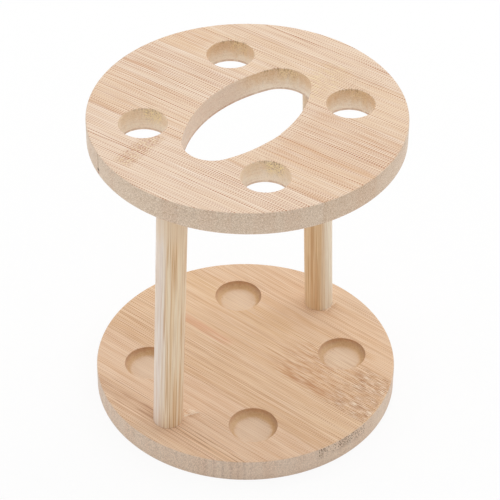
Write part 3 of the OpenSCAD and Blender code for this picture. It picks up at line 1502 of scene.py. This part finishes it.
    def _recess(self, wood: Wood, centre: Vector) -> None:
        """Turns one recess with its rounded mouth and the cove round its floor.

        Args:
            wood: the board in the making
            centre: the recess's centre
        """
        top, radius, mouth = self.layout.board_thickness, self.recess_radius, self.recess_mouth
        floor = top - self.recess_depth
        angles = [math.pi / 2 * i / self.cove_steps for i in range(self.cove_steps + 1)]
        cove = [Corner(radius - self.cove_width * (1 - math.cos(a)),
                       floor + self.cove_height * (1 - math.sin(a))) for a in angles]
        profile = [Corner(radius + mouth + HOLD, top), Corner(radius, top, mouth), *cove,
                   Corner(0.0, floor)]
        wood.turn(profile, self.recess_steps, Matrix.Translation(centre))

    def _post_hole(self, wood: Wood, half_turn: float) -> None:
        """Turns one socket and the countersunk screw hole under it.

        Args:
            wood: the board in the making
            half_turn: the post's place round the board
        """
        over = self.layout.board_thickness
        socket = self.layout.post_radius + self.layout.glue_gap
        floor = -self.layout.socket_depth - self.layout.glue_gap
        profile = table(Corner, (socket, over), (socket, floor), (self.screw_radius, floor),
                        (self.screw_radius, self.neck_height), (self.head_radius, self.head_height),
                        (self.head_radius, -2 * over))
        place = self.layout.post_axis(half_turn)
        wood.turn(profile, self.layout.socket_steps, place, between=(0.0, over))

    def dress(self, piece: bpy.types.Object) -> None:
        """Gives the board its bamboo.

        Args:
            piece: the board's piece
        """
        finish = BambooFinish(
            name="bamboo_base",
            turn=0.0,
            top=self.layout.board_thickness / MM,
            strips=self.STRIPS,
            streaks=self.STREAKS,
            knuckles=self.KNUCKLES,
            thread="ad7850",
            warm="d6ab80",
            light="f3dcc4",
            rim="d2c4b8",
            bore_mouth="bb8c64",
            bore_depth="cda879",
            torn="a46e44",
            tone_share=0.2,
            light_share=0.42,
            bundle_share=0.6,
            line_share=0.52,
            dash_share=0.75,
            floor=(self.layout.board_thickness - self.recess_depth) / MM,
            floor_fade=0.7,
            sunk="e6d4be",
            sunk_share=0.42,
            pale="f7e8d3",
            pore="60462f",
            # painted light and painted shade on the recess walls, by the way they face
            lit_heading=math.radians(-20),
            lit_share=0.2,
            dim_share=0.6,
            dot_share=0.5,
            dashes=(0.24, 4.5, 0.24),
            lifted=0.54,
        )
        dress(piece, finish.material(), "base_board")


@dataclass
class UpperBoard:
    """The board with the brush holes and the oval opening, turned a little on its posts."""

    STRIPS = table(Strip, (-62, "efd9c1", 1), (-28, "edd4b8", 0.85), (-5, "eed8bf", 1),
                   (19.3, "ecd3b6", 0.85), (44, "edd6bc", 0.95))
    STREAKS = table(
        Streak,
        (1, 15, 4, 0.3, "dcb28a", -60, -24),
        (-27.6, 0.5, 0.4, 0.42, "c99c70"),
        (-24, 2.6, 0.8, 0.32, "e6c6a2", 22, 60),
        (-25, 2, 1, 0.16, "dcb084", -60, -36),
        (-20.4, 0.25, 0.3, 0.42, "c1906a", 17, 60),
        (-16.2, 0.3, 0.4, 0.39, "c4946c", 17, 60),
        (-21.5, 0.4, 0.5, 0.2, "cfa076", -60, -17),
        (-13.8, 0.7, 0.8, 0.18, "d2a47a", -60, -17),
        (-5.2, 0.9, 0.7, 0.32, "d0a074", -60, -17),
        (-5.4, 0.5, 0.5, 0.28, "cfa07a", 17, 60),
        (1.8, 0.7, 0.6, 0.39, "cf9a70", 46, 60),
        (7.6, 0.3, 0.35, 0.32, "c4946c"),
        (13, 0.3, 0.35, 0.24, "c4946c"),
        (16.2, 0.3, 0.35, 0.28, "c4946c"),
        (19.3, 0.25, 0.4, 0.35, "c4946c"),
        (28, 8, 1.5, 0.28, "dfb68c", 42, 60),
        (43.6, 0.3, 0.35, 0.39, "be8e68"),
        (52, 0.25, 0.35, 0.28, "c4946c"),
    )
    KNUCKLES = table(Knuckle, (-41, 11.5, 19, 4.6, 0.4, 0.06, 0.9, 0.46, 0.35, 1, "a86440"),
                     (34, 13, -11, 8, 1, 0.12, 0.3, 0.15, 0.3, 3, "c29670"))
    CRACKS = table(Crack, (-52.3, 0.1, 124.5, 131.2, 0.5, "8d6c42"),
                   (-52.3, 0.3, 124.2, 124.9, 0.95, "4a3422"), (-52.2, 0.3, 122.8, 123.3, 0.7, "9a5634"))

    layout: Layout
    hole_radius: float = 9.25 * MM
    hole_steps: int = 192
    oval_half_length: float = 33.3 * MM
    oval_half_width: float = 17.3 * MM
    oval_end_radius: float = 11.4 * MM
    end_steps: int = 72
    side_steps: int = 116
    nick_start: float = -14.0 * MM
    nick_end: float = -3.4 * MM
    nick_depth: float = 0.25 * MM
    tooth_depth: float = 0.36 * MM
    # Height of the painted shade at the foot of the walls
    burn_height: float = 1.0 * MM
    # Middle and half of the part of a rim that has loose fibre, or torn teeth, and its strength
    hole_fuzz: Pair = (math.radians(12), math.radians(26))
    hole_tear: Pair = (math.radians(25), math.radians(42))
    oval_fuzz: Pair = (math.radians(20), math.radians(24))
    oval_tear: Pair = (math.radians(45), math.radians(38))
    fuzz_shares: tuple[float, ...] = (0.5, 1.0, 1.0, 0.35)
    oval_fuzz_share: float = 0.5

    def build(self) -> bpy.types.Object:
        """Cuts the board, its holes, its oval and the blind sockets under it.

        Returns:
            the piece
        """
        wood = Wood()
        low, high = self.layout.upper_height, self.layout.overall_height
        turned = Matrix.Rotation(self.layout.board_turn, 4, "Z")
        centres = self.layout.brush_centres()
        self.layout.blank(wood, low)
        for centre in centres:
            wood.turn(self._wall(self.hole_radius), self.hole_steps, Matrix.Translation(centre))
        self._oval(wood)
        for side in Side:
            self._socket(wood, turned.inverted() @ self.layout.post_axis(side.value))
        wood.close(high)
        wood.close(low)
        for centre, share in zip(centres, self.fuzz_shares):
            wood.fuzz(Rim(centre, self.hole_radius, high, *self.hole_fuzz), share)
            wood.fray(Rim(centre, self.hole_radius, high, *self.hole_tear), self.tooth_depth)
        end = Vector((self.oval_half_length - self.oval_end_radius, 0.0, 0.0))
        wood.fuzz(Rim(end, self.oval_end_radius, high, *self.oval_fuzz), self.oval_fuzz_share)
        wood.fray(Rim(end, self.oval_end_radius, high, *self.oval_tear), self.tooth_depth)
        self._nick(wood)
        return wood.finish("upper_board_wood", turned)

    def _nick(self, wood: Wood) -> None:
        """Sets a short length of the oval's near rim back, up to a small step.

        Args:
            wood: the board in the making
        """
        for vert in wood.mesh.verts:
            run = (vert.co.x - self.nick_start) / (self.nick_end - self.nick_start)
            near = vert.co.y + self.oval_half_width
            if 0 < run < 1 and abs(near) < self.layout.mouth_round + HOLD + self.nick_depth:
                vert.co.y -= self.nick_depth * run

    def _wall(self, radius: float) -> tuple[Corner, ...]:
        """Gives the profile of a hole right through the board.

        Args:
            radius: the hole's radius

        Returns:
            its corners, from the top face to the underside
        """
        low, high = self.layout.upper_height, self.layout.overall_height
        mouth = self.layout.mouth_round
        outer = radius + mouth + HOLD
        return table(Corner, (outer, high), (radius, high, mouth), (radius, low, mouth), (outer, low))

    def _oval(self, wood: Wood) -> None:
        """Turns the oval's wall as four arcs that run into each other.

        Args:
            wood: the board in the making
        """
        end_x = self.oval_half_length - self.oval_end_radius
        end_r, half_width = self.oval_end_radius, self.oval_half_width
        side_r = (end_x**2 + half_width**2 - end_r**2) / (2 * (half_width - end_r))
        side_y = side_r - half_width
        corner = math.atan2(side_y, end_x)
        for flip in (0.0, math.pi):
            turned = Matrix.Rotation(flip, 4, "Z")
            end = turned @ Matrix.Translation((end_x, 0.0, 0.0))
            wood.turn(self._wall(end_r), self.end_steps, end, -corner, 2 * corner)
            side = turned @ Matrix.Translation((0.0, -side_y, 0.0))
            wood.turn(self._wall(side_r), self.side_steps, side, corner, math.pi - 2 * corner)

    def _socket(self, wood: Wood, place: Matrix) -> None:
        """Turns one blind socket for a post's head.

        Args:
            wood: the board in the making
            place: place of the post's axis in the board's own frame
        """
        low, high = self.layout.upper_height, self.layout.overall_height
        radius = self.layout.post_radius + self.layout.glue_gap
        reach = self.layout.lean.length
        roof = reach + self.layout.socket_depth + self.layout.glue_gap
        profile = table(Corner, (radius, reach - self.layout.socket_depth), (radius, roof), (0.0, roof))
        wood.turn(profile, self.layout.socket_steps, place, between=(low, high))

    def dress(self, piece: bpy.types.Object) -> None:
        """Gives the board its bamboo.

        Args:
            piece: the board's piece
        """
        low, high = self.layout.upper_height, self.layout.overall_height
        finish = BambooFinish(
            name="bamboo_upper",
            turn=self.layout.board_turn,
            top=high / MM,
            strips=self.STRIPS,
            streaks=self.STREAKS,
            knuckles=self.KNUCKLES,
            cracks=self.CRACKS,
            thread="ad6a42",
            warm="e2bf9a",
            light="f8ebdd",
            rim="c2a98f",
            bore_mouth="e8d1b3",
            bore_depth="f1e4d2",
            slot_half=(self.oval_half_length / MM, self.oval_half_width / MM),
            torn="6e4c28",
            tone_share=0.1,
            light_share=0.4,
            bundle_share=1.15,
            line_share=0.32,
            dash_share=0.85,
            unlike=0.6,
            floor=low / MM,
            floor_fade=0.3,
            gold_share=0.48,
            husk_share=0.6,
            # painted shade at the foot of the walls, just above the underside
            burn_low=low / MM,
            burn_high=(low + self.burn_height) / MM,
        )
        dress(piece, finish.material(), "upper_board")


@dataclass
class Post:
    """A leaning dowel between the boards, its ends glued into their sockets."""

    # Finishes by side: name, start of the pale side, which is painted light, and its colours, the last
    # one the painted light at the top
    FINISHES = {
        Side.LEFT: ("dowel_left", 1.2, "e9ddd2", "ead6ba", "b98144", "deb078", "f2e3c6", "e2ccb0"),
        Side.RIGHT: ("dowel_right", 0.7, "ebdfca", "dfc19a", "bb8c5c", "d3a272", "ebd4ae", "e6d8c4"),
    }

    layout: Layout
    side: Side
    steps: int = 128
    end_bevel: float = 0.4 * MM
    fibre_relief: float = 0.025 * MM
    fibre_width: float = 0.8 * MM
    fibre_length: float = 45 * MM

    @property
    def place(self) -> Matrix:
        """Place of the post's axis."""
        return self.layout.post_axis(self.side.value)

    def build(self) -> bpy.types.Object:
        """Turns the dowel and gives it the faint ridges of its fibres.

        Returns:
            the piece
        """
        wood = Wood()
        radius, depth = self.layout.post_radius, self.layout.socket_depth
        head = self.layout.lean.length + depth
        profile = table(Corner, (0.0, -depth), (radius, -depth, self.end_bevel),
                        (radius, head, self.end_bevel), (0.0, head))
        wood.turn(profile, self.steps)
        for vert in wood.mesh.verts:
            around = vert.co.xy
            if around.length > radius / 2:
                ridge = noise.noise(Vector((around.x / self.fibre_width, around.y / self.fibre_width,
                                            vert.co.z / self.fibre_length + self.side.value)))
                vert.co.xy = around * (1 + self.fibre_relief / radius * (ridge - 1))
        return wood.finish(f"{self.side.name.lower()}_dowel", self.place)

    def dress(self, piece: bpy.types.Object) -> None:
        """Gives the dowel its bamboo.

        Args:
            piece: the dowel's piece
        """
        name, *looks = self.FINISHES[self.side]
        finish = DowelFinish(name, self.place, *looks)
        dress(piece, finish.material(), f"{self.side.name.lower()}_post")


@dataclass
class BaseScrews:
    """The two countersunk screws, which keep their CAD shape."""

    node: str = "base_screws"

    def dress(self) -> None:
        """Gives the screws their plated steel."""
        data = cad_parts[self.node].data
        data.materials.clear()
        data.materials.append(PlatedSteelFinish().material())
        LOG.info("dressed %s", self.node)


@dataclass
class Camera:
    """The photograph's camera."""

    lens: float = 164.99
    sensor: float = 36.0
    elevation: float = math.radians(39.244)
    heading: float = VIEW
    roll: float = math.radians(0.525)
    distance: float = 891.065 * MM
    aim: Vector = field(default_factory=lambda: Vector((1.397, 0.0, 66.041)) * MM)
    sight: float = 100.0

    def build(self) -> None:
        """Adds the camera and looks through it."""
        forward = Vector((0.0, math.cos(self.elevation), -math.sin(self.elevation)))
        right = Vector((1.0, 0.0, 0.0))
        upward = right.cross(forward)
        columns = (math.cos(self.roll) * right + math.sin(self.roll) * upward,
                   math.cos(self.roll) * upward - math.sin(self.roll) * right,
                   -forward)
        stand = Matrix(columns).transposed().to_4x4()
        stand.translation = self.aim - self.distance * forward
        data = bpy.data.cameras.new("camera")
        data.lens = self.lens
        data.sensor_width = self.sensor
        data.clip_end = self.sight
        piece = bpy.data.objects.new("camera", data)
        piece.matrix_world = Matrix.Rotation(self.heading, 4, "Z") @ stand
        bpy.context.scene.collection.objects.link(piece)
        bpy.context.scene.camera = piece


@dataclass(frozen=True)
class Panel:
    """A soft light panel that faces the object."""

    name: str
    heading: float
    elevation: float
    distance: float
    size: float
    power: float
    aim_height: float = 70 * MM

    def build(self, turn: float) -> None:
        """Hangs the panel.

        Args:
            turn: heading of the camera, which the panels are set out from
        """
        data = bpy.data.lights.new(self.name, "AREA")
        data.shape = "SQUARE"
        data.size = self.size
        data.energy = self.power
        level = math.cos(self.elevation)
        away = Vector((level * math.sin(self.heading), -level * math.cos(self.heading),
                       math.sin(self.elevation)))
        away = Matrix.Rotation(turn, 3, "Z") @ away
        piece = bpy.data.objects.new(self.name, data)
        spot = Matrix.Translation(away * self.distance + Vector((0.0, 0.0, self.aim_height)))
        piece.matrix_world = spot @ away.to_track_quat("Z", "Y").to_matrix().to_4x4()
        bpy.context.scene.collection.objects.link(piece)


@dataclass
class Studio:
    """White floor, even sky and soft panels round the object."""

    turn: float
    sky: float = 0.74
    floor_size: float = 8.0
    floor_parts: int = 8
    floor_drop: float = 0.05 * MM
    panels: tuple[Panel, ...] = table(
        Panel,
        ("back_panel", math.radians(172), math.radians(55), 1.5, 1.0, 3.8),
        ("left_panel", math.radians(-105), math.radians(28), 1.4, 0.9, 3.0),
        ("right_panel", math.radians(120), math.radians(30), 1.4, 0.9, 4.2),
    )

    def build(self) -> None:
        """Lays the floor and sets up the light."""
        scene = bpy.context.scene
        scene.view_settings.view_transform = "Standard"
        mesh = bmesh.new()
        bmesh.ops.create_grid(mesh, x_segments=self.floor_parts, y_segments=self.floor_parts,
                              size=self.floor_size / 2,
                              matrix=Matrix.Translation((0.0, 0.0, -self.floor_drop)))
        data = bpy.data.meshes.new("studio_floor")
        mesh.to_mesh(data)
        mesh.free()
        data.materials.append(PaperFinish().material())
        floor = bpy.data.objects.new("studio_floor", data)
        scene.collection.objects.link(floor)
        self._sky(scene)
        for panel in self.panels:
            panel.build(self.turn)

    def _sky(self, scene: bpy.types.Scene) -> None:
        """Makes the sky white to the camera and even on the object.

        Args:
            scene: the scene that gets the sky
        """
        world = bpy.data.worlds.new("studio_sky")
        graph = Graph(world)
        sockets = {"Color": WHITE, "Strength": self.sky + graph.seen() * (1 - self.sky)}
        glow = graph.node("ShaderNodeBackground", None, sockets)
        graph.node("ShaderNodeOutputWorld", None, {"Surface": graph.out(glow)})
        scene.world = world


def main() -> None:
    """Builds the holder and its studio."""
    logging.basicConfig(level=logging.INFO)
    camera = Camera()
    camera.build()
    Studio(camera.heading).build()
    layout = Layout()
    parts = (BaseBoard(layout), UpperBoard(layout), Post(layout, Side.LEFT), Post(layout, Side.RIGHT))
    for part in parts:
        piece = part.build()
        part.dress(piece)
        LOG.info("built %s with %d faces", piece.name, len(piece.data.polygons))
    BaseScrews().dress()


if __name__ == "__main__":
    main()
